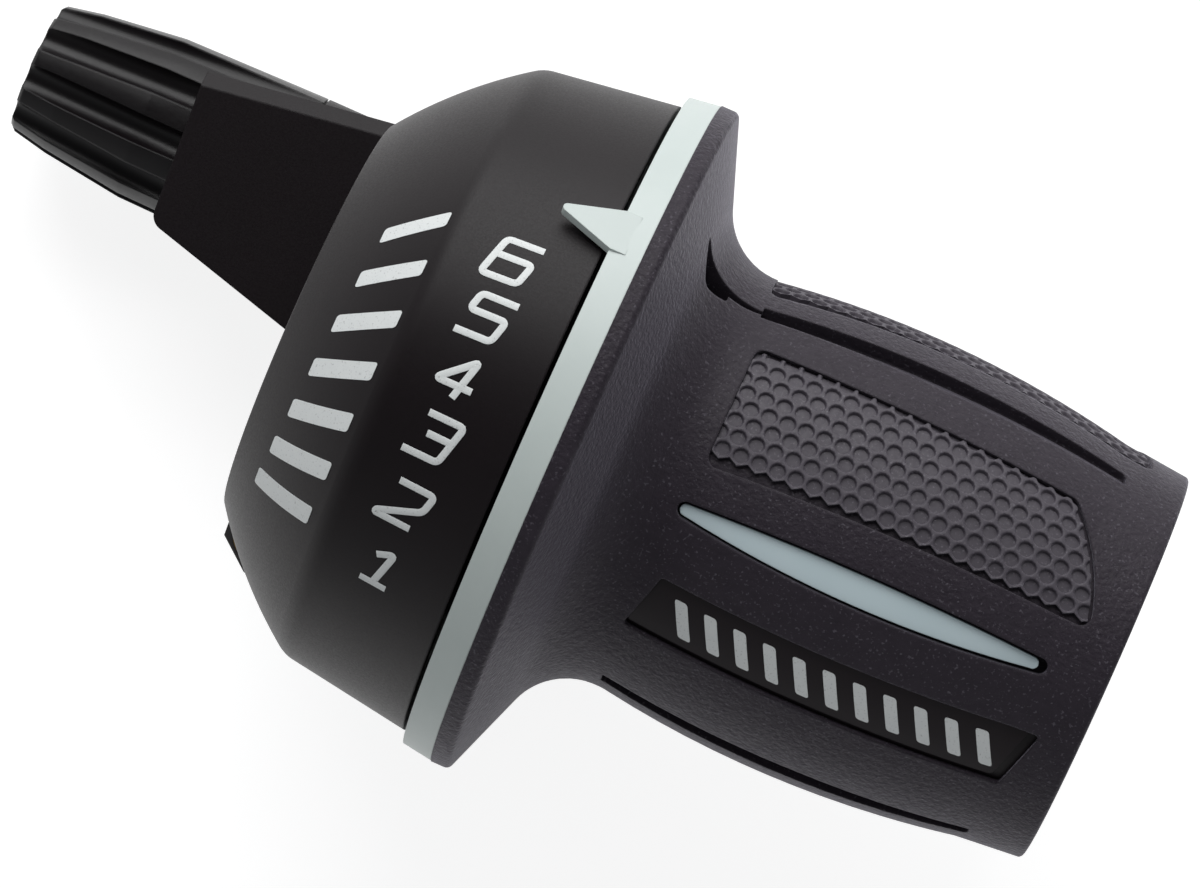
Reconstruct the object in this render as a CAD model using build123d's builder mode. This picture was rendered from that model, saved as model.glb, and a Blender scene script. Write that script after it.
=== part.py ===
from build123d import *
from math import acos, asin, atan2, cos, degrees, hypot, radians, sin
import os

# Twist grip shifter, in millimetres. X runs outboard along the handlebar, Y points
# forward and Z points up to the rider. The origin is on the bar at the inboard face.

# Handlebar and the fits on it
BAR_DIA = 22.2
CLAMP_GAP = 0.05
GRIP_RUN = 0.10

# Clamp hub in the housing, split so that a screw can close it on the bar
HUB_WALL = 2.55
HUB_LEN = 8.2
RELIEF = 0.8
SLIT_WIDTH = 1.6
SLIT_ANGLE = 222.0
LUG_IN = 0.3
LUG_WIDTH = 7.0
LUG_RISE = 7.6
LUG_SLOPE = 2.85
LUG_SLOPE_LEN = 2.45
LUG_NEAR = 7.0
LUG_FAR = 4.8
LUG_ROOM = 0.5
NOTCH_FAR = 13.0

# Clamp screw and its threaded insert
CLAMP_SCREW_DIA = 4.0
CLAMP_HEAD_DIA = 7.0
CLAMP_HEAD_LEN = 4.0
CLAMP_KEY = 3.0
CLAMP_KEY_DEPTH = 2.2
INSERT_WALL = 0.9
INSERT_LEN = 5.2
SCREW_GAP = 0.15

# Housing shell: bevel, numbered band and back wall
FACE_GAP = 1.0
FACE_LIP = 1.2
BEVEL_BULGE = 0.75
SHELL = 1.75
CREASE_FILLET = 3.0
FACE_FILLET = 0.3
BACK_WALL = 1.4
BAND_WALL = 1.45
RIM_RISE = 3.0
BACK_BORE_GAP = 0.4

# Drum, detent wheel and journal of the grip core
CORE_WALL = 2.2
DRUM_WALL = 3.2
CABLE_DIA = 1.2
RIM_OVER = 1.0
RIM_LEN = 0.3
GROOVE_LEN = 1.2
RIM_OUT_LEN = 1.1
WHEEL_OVER = 2.4
WHEEL_LEN = 4.1
JOURNAL_OVER = 0.32
JOURNAL_RUN = 0.08
END_PLAY = 0.1
RETAINER_PLAY = 0.3
KEY_WIDTH = 3.0
KEY_RISE = 0.9
KEY_LEN = 6.0
KEYS = 3
NIPPLE_LEN = 5.0
NIPPLE_WIDTH = 4.2
NIPPLE_PAST = 9.0

# Clicks: how far the grip has turned from the photographed place at each gear
GEAR_TURNS = (0.0, 10.9, 21.4, 32.7, 43.6, 56.3, 69.4)
TRAVEL = 70.0
NOTCH_DEPTH = 1.0
NOTCH_HALF = 4.6
NOTCH_FLOOR = 1.3

# Leaf spring over the detent wheel, its bends in degrees either side of the nose
SPRING_ROOM = 4.8
SPRING_ANGLE = 90.0
SPRING_T = 0.5
SPRING_WIDTH = 3.4
SPRING_END = 36.0
SPRING_BEND = 27.0
SPRING_NECK = 8.0
SPRING_SHOULDER = 4.6
SPRING_TIP = 0.8
SPRING_GAP = 0.12
SPRING_LIFT = 0.5
SPRING_SEAT_GAP = 0.02
PEG_SPAN = 2.4
PEG_RISE = 1.6
PEG_GAP = 0.12

# Retainer ring and its screws
RETAINER_T = 1.6
SEAT_STEP = 1.2
SEAT_GAP = 0.08
RIM_LEFT = 0.1
POSTS = 3
POST_START = 30.0
POST_R = 2.0
POST_IN = 1.9
RET_SCREW_DIA = 2.4
RET_HEAD_DIA = 4.6
RET_SCREW_LEN = 7.0
STOP_RISE = 2.4
STOP_GAP = 0.25

# Thrust washer
WASHER_T = 0.5
WASHER_WIDTH = 4.0

# Indicator ring and pointer
RING_GAP = 0.4
RING_LEN = 2.5
RING_PROUD = 0.95
RING_CONE = 0.35
POINTER_ANGLE = 56.7
POINTER_LEN = 5.1
POINTER_WIDTH = 3.7
POINTER_T = 0.75
POINTER_GAP = 0.35
POINTER_TIP = 0.35

# Rubber sleeve: radii are above the core, lengths run from the indicator ring
FLANGE_OVER = 0.05
FLANGE_LEN = 1.4
FLANGE_EDGE = 0.5
FLANK_LEN = 4.1
WAIST_RISE = 2.95
CROWN_RISE = 4.62
CROWN_LEN = 21.5
NOSE_RISE = 3.02
NOSE_LEN = 38.9
END_RISE = 2.5
SLEEVE_LEN = 44.3
WAIST_FILLET = 5.5
END_LIP = 0.4
END_EDGE = 0.35

# Dimpled panels, slots, recessed panel and inlay in the rubber
PANEL_IN = 10.2
PANEL_OUT = 36.7
PANEL_SLANT = 4.7
PANEL_BULGE = 0.8
PANEL_TAPER = 0.86
PANEL_DEPTH = 0.45
PANEL_CORNER = 0.9
PANEL_FRONT = 66.2
PANEL_FRONT_HALF = 17.0
PANEL_BACK = (-4.4, 203.3, 278.0)
PANEL_BACK_HALF = 26.9
PANEL_BACK_IN = 9.3
SLOTS_TOWARD_FRONT = (34.6, 315.3)
SLOTS_TOWARD_BACK = (161.5, 240.7)
SLOT_IN = 9.4
SLOT_OUT = 39.6
SLOT_HALF = 1.05
SLOT_TIP_HALF = 0.7
SLOT_END_HALF = 0.9
SLOT_DEPTH = 1.8
SLOT_SHALLOW = 0.1
SLOT_CORNER = 0.65
BADGE_ANGLE = 123.9
BADGE_IN = 10.7
BADGE_OUT = 41.3
BADGE_HALF = 2.7
BADGE_SLANT = 1.4
BADGE_DEPTH = 0.5
BADGE_CORNER = 0.35
DROP_ANGLE = 38.0
DROP_IN = 3.3
DROP_BELLY_IN = 4.7
DROP_BELLY = 1.6
DROP_LEN = 6.6
DROP_SIDE = 1.15
DROP_TAIL_IN = 9.8
DROP_TAIL = 0.4
DROP_DEPTH = 0.7
DROP_CORNER = 0.4
INLAY_ANGLE = 96.5
INLAY_IN = 9.85
INLAY_LEN = 29.6
INLAY_HALF = 1.2
INLAY_TIP = 0.45
INLAY_BOW = 0.2
INLAY_DEPTH = 1.2
INLAY_SINK = 0.15
INLAY_RIM = 0.2

# Barrel adjuster, beside and below the bar
BARREL_Y = 9.3
HOOD_GAP = 0.3
HOOD_ROOF = 1.0
KNOB_DIA = 14.2
KNOB_WAIST_DIA = 13.8
KNOB_NECK_DIA = 12.1
KNOB_TIP_DIA = 10.9
KNOB_LEN = 22.3
KNOB_WAIST_LEN = 10.0
KNOB_NECK_LEN = 3.2
KNOB_GAP = 0.2
KNOB_ROOM = 0.3
KNOB_EDGE = 0.25
FLUTES = 10
FLUTE_START = -6.7
FLUTE_R = 1.2
FLUTE_DEPTH = 1.45
FLUTE_TILT = 5.0
STEM_DIA = 4.9
STEM_LEN = 7.0
STEM_RUN = 0.05
SEAT_DIA = 5.1
SEAT_DEPTH = 8.0
CABLE_HOLE = 2.2
CUP_DIA = 9.8
CUP_DEPTH = 5.0
COIL_DIA = 7.8
COIL_WIRE = 0.7
COIL_TURNS = 3.5
COIL_SIDES = 8
COIL_GAP = 0.02
RUB_WASHER_T = 0.5
RUB_WASHER_DIA = 9.4
RUB_WASHER_GAP = 0.15

# Cable boss with its hood, and the elbow that leads the cable to the drum
BOSS_FACE = -7.0
BOSS_R = 7.1
HOOD_LEN = 8.4
HOOD_SKEW = 0.8
HOOD_LOW = 1.65
HOOD_HIGH = 14.3
ROOT_LOW = -2.4
ROOT_HIGH = 16.6
HOOD_DEPTH = 5.4
HOOD_CHAMFER = 1.2
HOOD_CORNER = 1.3
BOSS_SLOPE = 2.0
ELBOW_R = 6.5
GUIDE_DIA = 2.6
GUIDE_BORE = 1.6
GUIDE_START = 0.8
OVERCUT = 1.0

# Radii, built up from the bar outward
bar_r = BAR_DIA / 2
clamp_r = bar_r + CLAMP_GAP
bore_r = bar_r + GRIP_RUN
hub_r = clamp_r + HUB_WALL
face_in_r = hub_r + FACE_GAP
face_r = face_in_r + FACE_LIP
core_r = bore_r + CORE_WALL
root_r = bore_r + DRUM_WALL
pitch_r = root_r + CABLE_DIA / 2
rim_r = pitch_r + RIM_OVER
journal_r = rim_r + JOURNAL_OVER
wheel_r = rim_r + WHEEL_OVER
cavity_r = wheel_r + SPRING_ROOM
crease_r = cavity_r + BAND_WALL
lip_r = cavity_r + RIM_RISE
ring_r = lip_r + RING_PROUD
seat_r = cavity_r + SEAT_STEP
post_ring_r = cavity_r - POST_IN

# Lengths along the bar, built up from the inboard face
back_in = HUB_LEN + RELIEF
back_out = back_in + BACK_WALL
washer_out = back_out + WASHER_T
drum_in = washer_out + END_PLAY
groove_in = drum_in + RIM_LEN
groove_out = groove_in + GROOVE_LEN
groove_x = (groove_in + groove_out) / 2
wheel_in = groove_out + RIM_OUT_LEN
wheel_out = wheel_in + WHEEL_LEN
seat_x = wheel_out + RETAINER_PLAY
retainer_out = seat_x + RETAINER_T
rim_x = retainer_out + RIM_LEFT
ring_in = rim_x + RING_GAP
ring_out = ring_in + RING_LEN
sleeve_end = ring_out + SLEEVE_LEN
core_end = sleeve_end - END_LIP

# Barrel axis and the straight run of cable that touches the drum
pocket_r = KNOB_DIA / 2 + KNOB_ROOM
hood_z = -(bar_r + HOOD_GAP)
barrel_z = hood_z - HOOD_ROOF - pocket_r
barrel_far = hypot(BARREL_Y, barrel_z)
tangent_angle = degrees(atan2(barrel_z, BARREL_Y) + acos(pitch_r / barrel_far))
run_y = cos(radians(tangent_angle + 90))
run_z = sin(radians(tangent_angle + 90))
elbow_in = groove_x - ELBOW_R
knob_in = BOSS_FACE - KNOB_GAP
knob_tip = knob_in - KNOB_LEN
cup_x = knob_in - CUP_DEPTH
stem_end = knob_in + STEM_LEN


def polar(radius, angle):
    """Point on a cross section, the angle going from forward up over the top."""
    return (radius * cos(radians(angle)), radius * sin(radians(angle)))


def across(x):
    """Plane square to the bar at a length along it."""
    return Plane(origin=(x, 0, 0), x_dir=(0, 1, 0), z_dir=(1, 0, 0))


def beside(x):
    """Plane square to the barrel axis at a length along it."""
    return Plane(origin=(x, BARREL_Y, barrel_z), x_dir=(0, 1, 0), z_dir=(1, 0, 0))


def facing(angle, radius):
    """Plane that looks outward from the bar at an angle and a radius."""
    y, z = polar(radius, angle)
    return Plane(origin=(0, y, z), x_dir=(1, 0, 0), z_dir=(0, *polar(1, angle)))


def along_turn(angle, x, radius, shift):
    """Plane whose normal points the way the angle grows, moved along that normal."""
    out_y, out_z = polar(radius, angle)
    turn_y, turn_z = polar(1, angle + 90)
    place = (x, out_y + shift * turn_y, out_z + shift * turn_z)
    return Plane(origin=place, x_dir=(1, 0, 0), z_dir=(0, turn_y, turn_z))


# Surface of the rubber between the waist and the outboard end
waist_at = (ring_out + FLANGE_LEN + FLANK_LEN, core_r + WAIST_RISE)
crown_at = (ring_out + CROWN_LEN, core_r + CROWN_RISE)
nose_at = (ring_out + NOSE_LEN, core_r + NOSE_RISE)
end_at = (sleeve_end, core_r + END_RISE)
flange_r = ring_r + RING_CONE + FLANGE_OVER
far_r = flange_r + OVERCUT


def lowered(point, depth):
    """Point of the profile moved toward the bar."""
    return (point[0], point[1] - depth)


def grip_layer(depth):
    """Everything outside the rubber surface lowered by a depth, turned about the bar."""
    with BuildPart() as layer:
        with BuildSketch(Plane.XY):
            with BuildLine():
                ThreePointArc(
                    lowered(waist_at, depth), lowered(crown_at, depth), lowered(nose_at, depth)
                )
                Polyline(
                    lowered(nose_at, depth),
                    lowered(end_at, depth),
                    (sleeve_end, far_r),
                    (waist_at[0], far_r),
                    lowered(waist_at, depth),
                )
            make_face()
        revolve(axis=Axis.X)
    return layer.part


# Thrust washer, lying on the back wall of the housing
with BuildPart() as thrust_washer:
    with BuildSketch(across(back_out)):
        Circle(bar_r + BACK_BORE_GAP + WASHER_WIDTH)
        Circle(bar_r + BACK_BORE_GAP, mode=Mode.SUBTRACT)
    extrude(amount=WASHER_T)
thrust_washer.part.label = "thrust_washer"

# Retainer ring with countersunk holes; its bore is the journal of the grip core
with BuildPart() as retainer_ring:
    with BuildSketch(across(seat_x)):
        Circle(seat_r - SEAT_GAP)
        Circle(journal_r + JOURNAL_RUN, mode=Mode.SUBTRACT)
    extrude(amount=RETAINER_T)
    with Locations(across(retainer_out)):
        with PolarLocations(post_ring_r, POSTS, POST_START):
            CounterSinkHole(RET_SCREW_DIA / 2, RET_HEAD_DIA / 2, counter_sink_angle=90)
retainer_ring.part.label = "retainer_ring"

# Countersunk screws of the retainer ring
with BuildPart() as retainer_screws:
    with Locations(across(retainer_out)):
        with PolarLocations(post_ring_r, POSTS, POST_START):
            Cone(
                RET_SCREW_DIA / 2,
                RET_HEAD_DIA / 2,
                (RET_HEAD_DIA - RET_SCREW_DIA) / 2,
                align=(Align.CENTER, Align.CENTER, Align.MAX),
            )
            Cylinder(
                RET_SCREW_DIA / 2,
                RET_SCREW_LEN,
                align=(Align.CENTER, Align.CENTER, Align.MAX),
            )
retainer_screws.part.label = "retainer_screws"

# Grip core: cable drum, detent wheel, journal and tube in one turned body
post_half = degrees(asin(POST_R / (post_ring_r - STOP_GAP)))
stop_from = POST_START + 360 / POSTS + post_half + degrees(STOP_GAP / wheel_r)
stop_to = POST_START + 2 * 360 / POSTS - post_half - degrees(STOP_GAP / wheel_r) - TRAVEL
with BuildPart() as grip_core:
    with BuildSketch(Plane.XY):
        with BuildLine():
            Polyline(
                (drum_in, bore_r),
                (drum_in, rim_r),
                (groove_in, rim_r),
                (groove_in, root_r),
                (groove_out, root_r),
                (groove_out, rim_r),
                (wheel_in, rim_r),
                (wheel_in, wheel_r),
                (wheel_out, wheel_r),
                (wheel_out, journal_r),
                (ring_in, journal_r),
                (ring_in, core_r),
                (core_end, core_r),
                (core_end, bore_r),
                close=True,
            )
        make_face()
    revolve(axis=Axis.X)
    # A notch for each gear, with the one in use under the spring's nose
    with BuildSketch(across(wheel_in)):
        for turn in GEAR_TURNS:
            at = SPRING_ANGLE - turn
            Polygon(
                polar(wheel_r + NOTCH_DEPTH, at - 2 * NOTCH_HALF + NOTCH_FLOOR),
                polar(wheel_r - NOTCH_DEPTH, at - NOTCH_FLOOR),
                polar(wheel_r - NOTCH_DEPTH, at + NOTCH_FLOOR),
                polar(wheel_r + NOTCH_DEPTH, at + 2 * NOTCH_HALF - NOTCH_FLOOR),
                align=None,
            )
    extrude(amount=WHEEL_LEN, mode=Mode.SUBTRACT)
    # Stop between two of the screw posts
    with BuildSketch(across(wheel_in)):
        with BuildLine():
            CenterArc((0, 0), wheel_r + STOP_RISE, stop_from, stop_to - stop_from)
            Line(polar(wheel_r + STOP_RISE, stop_to), polar(wheel_r - STOP_RISE, stop_to))
            CenterArc((0, 0), wheel_r - STOP_RISE, stop_to, stop_from - stop_to)
            Line(polar(wheel_r - STOP_RISE, stop_from), polar(wheel_r + STOP_RISE, stop_from))
        make_face()
    extrude(amount=WHEEL_LEN)
    # Pocket for the nipple at the end of a gear cable
    nipple_at = tangent_angle + NIPPLE_PAST
    with BuildSketch(along_turn(nipple_at, groove_in, 0, -NIPPLE_LEN / 2)):
        with Locations((0, pitch_r - NIPPLE_WIDTH / 2)):
            Rectangle(NIPPLE_WIDTH, wheel_r, align=Align.MIN)
    extrude(amount=NIPPLE_LEN, mode=Mode.SUBTRACT)
    # Keys that carry the ring and the rubber round with the core
    with BuildSketch(across(ring_in)):
        with PolarLocations(core_r, KEYS):
            Rectangle(2 * KEY_RISE, KEY_WIDTH)
        Circle(core_r - GRIP_RUN, mode=Mode.SUBTRACT)
    extrude(amount=KEY_LEN)
grip_core.part.label = "grip_core"

# Indicator ring with the pointer over the numbered band
with BuildPart() as indicator_ring:
    with BuildSketch(Plane.XY):
        with BuildLine():
            Polyline(
                (ring_in, core_r),
                (ring_in, ring_r),
                (ring_out, ring_r + RING_CONE),
                (ring_out, core_r),
                close=True,
            )
        make_face()
    revolve(axis=Axis.X)
    with BuildSketch(across(ring_in)):
        with PolarLocations(core_r, KEYS):
            Rectangle(2 * KEY_RISE, KEY_WIDTH)
    extrude(amount=RING_LEN, mode=Mode.SUBTRACT)
    pointer_r = lip_r + POINTER_GAP
    with BuildSketch(facing(POINTER_ANGLE, pointer_r)):
        Polygon(
            (ring_in - POINTER_LEN, 0),
            (ring_in, -POINTER_WIDTH / 2),
            (ring_in + RING_LEN / 2, -POINTER_WIDTH / 2),
            (ring_in + RING_LEN / 2, POINTER_WIDTH / 2),
            (ring_in, POINTER_WIDTH / 2),
            align=None,
        )
    extrude(amount=POINTER_T)
    fillet(indicator_ring.edges().sort_by(Axis.X)[0], POINTER_TIP)
indicator_ring.part.label = "indicator_ring"

# Outline of the inlay, a lens along the grip
inlay_mid = ring_out + INLAY_IN + INLAY_LEN / 2


def lens(grow):
    """Lens-shaped column through the rubber with round tips, grown all round."""
    tip = INLAY_TIP + grow
    first = inlay_mid - INLAY_LEN / 2 - grow + tip
    last = inlay_mid + INLAY_LEN / 2 + grow - tip
    upper = INLAY_HALF + grow - INLAY_BOW
    lower = INLAY_HALF + grow + INLAY_BOW
    with BuildPart() as column:
        with BuildSketch(facing(INLAY_ANGLE, core_r)):
            with BuildLine():
                ThreePointArc((first, tip), (inlay_mid, upper), (last, tip))
                ThreePointArc((last, tip), (last + tip, 0), (last, -tip))
                ThreePointArc((last, -tip), (inlay_mid, -lower), (first, -tip))
                ThreePointArc((first, -tip), (first - tip, 0), (first, tip))
            make_face()
        extrude(amount=far_r)
    return column.part


# Slots: a groove with a steep wall on one side that slopes up to the other
slot_in = ring_out + SLOT_IN
slot_out = ring_out + SLOT_OUT


def groove(angle, side):
    """Cut for a slot along the grip, with its steep wall on the side given by the sign."""
    with BuildPart() as cut:
        with BuildLine(along_turn(angle, 0, 0, 0)) as crest:
            run = ThreePointArc(waist_at, crown_at, end_at)
        with BuildSketch(Plane(origin=run @ 0, x_dir=(0, *polar(1, angle - 90)), z_dir=run % 0)):
            Polygon(
                (side * 2 * SLOT_HALF, -SLOT_DEPTH),
                (side * 2 * SLOT_HALF, OVERCUT),
                (-side * SLOT_HALF, OVERCUT),
                (-side * SLOT_HALF, -SLOT_SHALLOW),
                align=None,
            )
        sweep(path=crest.wires()[0])
        with BuildSketch(facing(angle, core_r)) as outline:
            with BuildLine():
                slot_mid = (slot_in + slot_out) / 2
                ThreePointArc((slot_in, SLOT_TIP_HALF), (slot_mid, SLOT_HALF), (slot_out, SLOT_END_HALF))
                Line((slot_out, SLOT_END_HALF), (slot_out, -SLOT_END_HALF))
                ThreePointArc((slot_out, -SLOT_END_HALF), (slot_mid, -SLOT_HALF), (slot_in, -SLOT_TIP_HALF))
                Line((slot_in, -SLOT_TIP_HALF), (slot_in, SLOT_TIP_HALF))
            make_face()
            fillet(outline.vertices().sort_by(Axis.X)[-2:], SLOT_CORNER)
        extrude(amount=far_r, mode=Mode.INTERSECT)
    return cut.part


# Rubber sleeve
panels = [(PANEL_FRONT, PANEL_FRONT_HALF, ring_out + PANEL_IN)]
panels += [(angle, PANEL_BACK_HALF, ring_out + PANEL_BACK_IN) for angle in PANEL_BACK]
with BuildPart() as panel_cuts:
    for angle, half, start in panels:
        reach = crown_at[1] * sin(radians(half))
        reach_out = reach * PANEL_TAPER
        near = ring_out + PANEL_OUT
        far = near + PANEL_SLANT
        with BuildSketch(facing(angle, core_r)) as panel:
            with BuildLine():
                Polyline(
                    (far, -reach_out),
                    (start, -reach),
                    (start, reach),
                    (near, reach_out),
                )
                ThreePointArc((near, reach_out), ((near + far) / 2 + PANEL_BULGE, 0), (far, -reach_out))
            make_face()
            fillet(panel.vertices(), PANEL_CORNER)
        extrude(amount=far_r)
    add(grip_layer(PANEL_DEPTH), mode=Mode.INTERSECT)

with BuildPart() as badge_cut:
    with BuildSketch(facing(BADGE_ANGLE, core_r)):
        badge = Polygon(
            (ring_out + BADGE_IN - BADGE_SLANT, -BADGE_HALF),
            (ring_out + BADGE_OUT - BADGE_SLANT, -BADGE_HALF),
            (ring_out + BADGE_OUT, BADGE_HALF),
            (ring_out + BADGE_IN, BADGE_HALF),
            align=None,
        )
        fillet(badge.vertices(), BADGE_CORNER)
    extrude(amount=far_r)
    add(grip_layer(BADGE_DEPTH), mode=Mode.INTERSECT)

with BuildPart() as inlay_cut:
    add(lens(INLAY_RIM))
    add(grip_layer(INLAY_DEPTH), mode=Mode.INTERSECT)

with BuildPart() as grip_sleeve:
    with BuildSketch(Plane.XY) as sleeve_profile:
        with BuildLine():
            Polyline(
                nose_at,
                end_at,
                (sleeve_end, core_r),
                (ring_out, core_r),
                (ring_out, flange_r),
                (ring_out + FLANGE_LEN, flange_r),
                waist_at,
            )
            ThreePointArc(waist_at, crown_at, nose_at)
        make_face()
        fillet(sleeve_profile.vertices().sort_by_distance((*waist_at, 0))[0], WAIST_FILLET)
        rim = (ring_out + FLANGE_LEN, flange_r, 0)
        fillet(sleeve_profile.vertices().sort_by_distance(rim)[0], FLANGE_EDGE)
        fillet(sleeve_profile.vertices().sort_by_distance((*end_at, 0))[0], END_EDGE)
    revolve(axis=Axis.X)
    with BuildSketch(across(ring_out)):
        with PolarLocations(core_r, KEYS):
            Rectangle(2 * KEY_RISE, KEY_WIDTH)
    extrude(amount=KEY_LEN - RING_LEN, mode=Mode.SUBTRACT)
    for angle in SLOTS_TOWARD_FRONT:
        add(groove(angle, 1), mode=Mode.SUBTRACT)
    for angle in SLOTS_TOWARD_BACK:
        add(groove(angle, -1), mode=Mode.SUBTRACT)
    add(panel_cuts.part, mode=Mode.SUBTRACT)
    add(badge_cut.part, mode=Mode.SUBTRACT)
    add(inlay_cut.part, mode=Mode.SUBTRACT)
    # Drop-shaped pocket in the hollow behind the flange, with a tail into the slot beside it
    with BuildSketch(facing(DROP_ANGLE, waist_at[1] - DROP_DEPTH)):
        drop = Polygon(
            (ring_out + DROP_IN, DROP_SIDE),
            (ring_out + DROP_BELLY_IN, -DROP_BELLY),
            (ring_out + DROP_LEN, -DROP_TAIL),
            (ring_out + DROP_LEN, DROP_SIDE),
            align=None,
        )
        fillet(drop.vertices(), DROP_CORNER)
        Polygon(
            (ring_out + DROP_BELLY_IN, DROP_SIDE),
            (ring_out + DROP_BELLY_IN, 0),
            (ring_out + DROP_TAIL_IN, DROP_SIDE - DROP_TAIL),
            (ring_out + DROP_TAIL_IN, DROP_SIDE),
            align=None,
        )
    extrude(amount=far_r, mode=Mode.SUBTRACT)
grip_sleeve.part.label = "grip_sleeve"

# Inlay, a little below the rubber around it
with BuildPart() as grip_inlay:
    add(lens(0))
    add(grip_layer(INLAY_DEPTH), mode=Mode.INTERSECT)
    add(grip_layer(INLAY_SINK), mode=Mode.SUBTRACT)
grip_inlay.part.label = "grip_inlay"

# Leaf spring: ends along the cavity wall, nose in the notch below it
leaf_end_r = cavity_r - SPRING_SEAT_GAP
leaf_neck_r = wheel_r + SPRING_T + SPRING_LIFT
leaf_nose_r = wheel_r - NOTCH_DEPTH + SPRING_T + SPRING_GAP
leaf = [
    (-SPRING_END, leaf_end_r),
    (-SPRING_BEND, leaf_end_r),
    (-SPRING_NECK, leaf_neck_r + SPRING_T),
    (-SPRING_SHOULDER, leaf_neck_r),
    (-SPRING_TIP, leaf_nose_r),
]
leaf = leaf + [(-turn, radius) for turn, radius in reversed(leaf)]
with BuildPart() as detent_spring:
    with BuildSketch(across(wheel_out - SPRING_WIDTH)):
        Polygon(
            *[polar(radius, SPRING_ANGLE + turn) for turn, radius in leaf],
            *[polar(radius - SPRING_T, SPRING_ANGLE + turn) for turn, radius in reversed(leaf)],
            align=None,
        )
    extrude(amount=SPRING_WIDTH)
detent_spring.part.label = "detent_spring"

# Elbow for the cable, from the barrel axis round to the drum
elbow_plane = Plane(origin=(0, BARREL_Y, barrel_z), x_dir=(1, 0, 0), z_dir=(0, -run_z, run_y))
with BuildPart() as cable_guide:
    with BuildLine(elbow_plane) as cable_path:
        Line((GUIDE_START, 0), (elbow_in, 0))
        JernArc((elbow_in, 0), (1, 0), ELBOW_R, 90)
    with BuildSketch(beside(GUIDE_START)):
        Circle(GUIDE_DIA / 2)
        Circle(GUIDE_BORE / 2, mode=Mode.SUBTRACT)
    sweep(path=cable_path.wires()[0])
cable_guide.part.label = "cable_guide"

# Clamp screw and the threaded insert it pulls on, across the slit
lug_x = LUG_IN + LUG_WIDTH / 2
screw_r = hub_r + LUG_RISE / 2
with BuildPart() as clamp_screw:
    with BuildSketch(along_turn(SLIT_ANGLE, lug_x, screw_r, LUG_FAR)):
        Circle(CLAMP_HEAD_DIA / 2)
    extrude(amount=CLAMP_HEAD_LEN)
    with BuildSketch(along_turn(SLIT_ANGLE, lug_x, screw_r, -LUG_NEAR)):
        Circle(CLAMP_SCREW_DIA / 2)
    extrude(amount=LUG_NEAR + LUG_FAR)
    with BuildSketch(along_turn(SLIT_ANGLE, lug_x, screw_r, LUG_FAR + CLAMP_HEAD_LEN)):
        RegularPolygon(CLAMP_KEY / 2, 6, major_radius=False)
    extrude(amount=-CLAMP_KEY_DEPTH, mode=Mode.SUBTRACT)
clamp_screw.part.label = "clamp_screw"

with BuildPart() as clamp_insert:
    with BuildSketch(along_turn(SLIT_ANGLE, lug_x, screw_r, -LUG_NEAR)):
        Circle(CLAMP_SCREW_DIA / 2 + INSERT_WALL)
        Circle(CLAMP_SCREW_DIA / 2, mode=Mode.SUBTRACT)
    extrude(amount=INSERT_LEN)
clamp_insert.part.label = "clamp_insert"

# Barrel adjuster: fluted knob with a hollow stem and a seat for the cable's outer
with BuildPart() as barrel_adjuster:
    knob_r = KNOB_DIA / 2
    tip_r = KNOB_TIP_DIA / 2
    with BuildSketch(Plane(origin=(0, BARREL_Y, barrel_z))):
        with BuildLine():
            Polyline(
                (knob_tip, tip_r - KNOB_EDGE),
                (knob_tip + KNOB_EDGE, tip_r),
                (knob_tip + KNOB_NECK_LEN, KNOB_NECK_DIA / 2),
                (knob_tip + KNOB_WAIST_LEN, KNOB_WAIST_DIA / 2),
                (knob_in, knob_r),
                (knob_in, CUP_DIA / 2),
                (cup_x, CUP_DIA / 2),
                (cup_x, STEM_DIA / 2),
                (stem_end, STEM_DIA / 2),
                (stem_end, CABLE_HOLE / 2),
                (knob_tip + SEAT_DEPTH, CABLE_HOLE / 2),
                (knob_tip + SEAT_DEPTH, SEAT_DIA / 2),
                (knob_tip, SEAT_DIA / 2),
                close=True,
            )
        make_face()
    revolve(axis=Axis((0, BARREL_Y, barrel_z), (1, 0, 0)))
    with Locations(beside((knob_tip + knob_in) / 2)):
        with PolarLocations(knob_r - FLUTE_DEPTH + FLUTE_R, FLUTES, FLUTE_START):
            Cylinder(FLUTE_R, 2 * KNOB_LEN, rotation=(0, FLUTE_TILT, 0), mode=Mode.SUBTRACT)
barrel_adjuster.part.label = "barrel_adjuster"

# Washer between the knob and its spring, and the spring itself
with BuildPart() as adjuster_washer:
    with BuildSketch(beside(cup_x)):
        Circle(RUB_WASHER_DIA / 2)
        Circle(STEM_DIA / 2 + RUB_WASHER_GAP, mode=Mode.SUBTRACT)
    extrude(amount=RUB_WASHER_T)
adjuster_washer.part.label = "adjuster_washer"

coil_from = cup_x + RUB_WASHER_T + COIL_WIRE / 2 + COIL_GAP
coil_len = BOSS_FACE - COIL_WIRE / 2 - COIL_GAP - coil_from
with BuildPart() as adjuster_spring:
    with BuildLine():
        coil = Helix(
            coil_len / COIL_TURNS,
            coil_len,
            COIL_DIA / 2,
            center=(coil_from, BARREL_Y, barrel_z),
            direction=(1, 0, 0),
        )
    with BuildSketch(Plane(origin=coil @ 0, z_dir=coil % 0)):
        RegularPolygon(COIL_WIRE / 2, COIL_SIDES)
    sweep(path=coil)
adjuster_spring.part.label = "adjuster_spring"

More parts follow.
